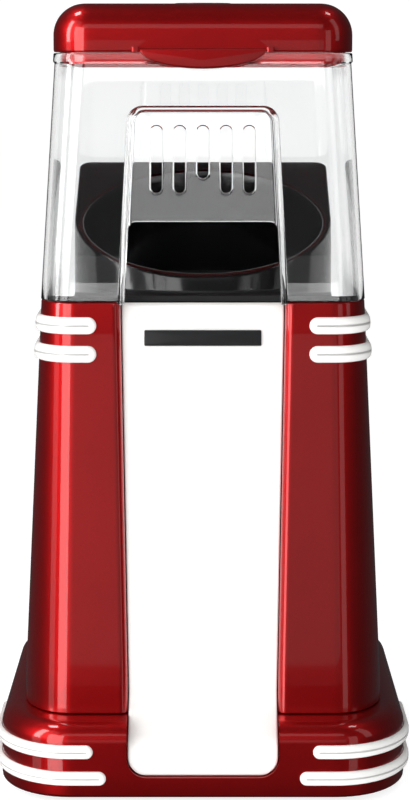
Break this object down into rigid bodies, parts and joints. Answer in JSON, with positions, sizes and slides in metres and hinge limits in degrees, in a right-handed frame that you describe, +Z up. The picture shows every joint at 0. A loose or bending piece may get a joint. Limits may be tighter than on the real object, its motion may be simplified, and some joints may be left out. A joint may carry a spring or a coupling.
{
  "type": "popcorn maker",
  "caption": "Hot-air popcorn maker: clear lift-off hood with a slotted chute, tapered dark red tower with a white front slide, wide red base and white wrap-round stripes",
  "frame": {"origin": "under the middle of the object, on the surface that it stands on", "axes": "+Z up, -Y to the front, where the chute and the slide are, +X to the viewer's right"},
  "size_m": [0.16, 0.189, 0.3],
  "materials": {
    "red_lacquer": "candy metallic dark red lacquer over moulded plastic, glossy",
    "white_plastic": "white, glossy",
    "black_plastic": "black, heat-resistant, semi-gloss",
    "clear_plastic": "clear polycarbonate, polished",
    "aluminium": "spun, satin",
    "steel": "plated sheet and turned steel",
    "rubber": "matte",
    "mica": "laminated mica sheet",
    "insulation": "silicone lead insulation",
    "circuit_board": "green board with diodes"
  },
  "bodies": {
    "base": {"base_shell": "red_lacquer", "tower_shell": "red_lacquer", "front_slide": "white_plastic", "terminal_block": "white_plastic", "bottom_cover": "black_plastic", "badge_plate": "black_plastic", "chamber_collar": "black_plastic", "fan_housing": "black_plastic", "motor_end_cap": "black_plastic", "switch_body": "black_plastic", "popping_chamber": "aluminium", "thermal_fuse": "aluminium", "heater_housing": "steel", "heater_coil": "steel", "thermostat": "steel", "motor_can": "steel", "motor_screw_1": "steel", "motor_screw_2": "steel", "mica_frame": "mica", "rectifier_board": "circuit_board", "cord_bush": "rubber", "upper_stripe_high_left": "white_plastic", "upper_stripe_high_right": "white_plastic", "upper_stripe_low_left": "white_plastic", "upper_stripe_low_right": "white_plastic", "lower_stripe_high_left": "white_plastic", "lower_stripe_high_right": "white_plastic", "lower_stripe_low_left": "white_plastic", "lower_stripe_low_right": "white_plastic", "foot_1": "rubber", "cover_screw_1": "steel", "tower_screw_1": "steel", "foot_2": "rubber", "cover_screw_2": "steel", "tower_screw_2": "steel", "foot_3": "rubber", "cover_screw_3": "steel", "tower_screw_3": "steel", "foot_4": "rubber", "cover_screw_4": "steel", "tower_screw_4": "steel", "supply_lead": "insulation", "switch_lead": "insulation", "thermostat_lead": "insulation", "motor_lead": "insulation"},
    "rotor": {"motor_shaft": "steel", "fan_impeller": "aluminium"},
    "hood": {"hood": "clear_plastic"},
    "lid": {"lid": "red_lacquer"},
    "rocker": {"switch_rocker": "red_lacquer"}
  },
  "joints": [
    {"name": "hood_lift", "type": "slide", "parent": "base", "child": "hood", "axis": [0, 0, 1], "range_m": [0, 0.075]},
    {"name": "lid_lift", "type": "slide", "parent": "hood", "child": "lid", "axis": [0, 0, 1], "range_m": [0, 0.04]},
    {"name": "fan_spin", "type": "hinge", "parent": "base", "child": "rotor", "pos_m": [0, 0, 0.06], "axis": [0, 0, 1], "continuous": true},
    {"name": "switch_press", "type": "hinge", "parent": "base", "child": "rocker", "pos_m": [0, 0.06943, 0.06196], "axis": [1, 0, 0], "range_deg": [0, 16]}
  ]
}
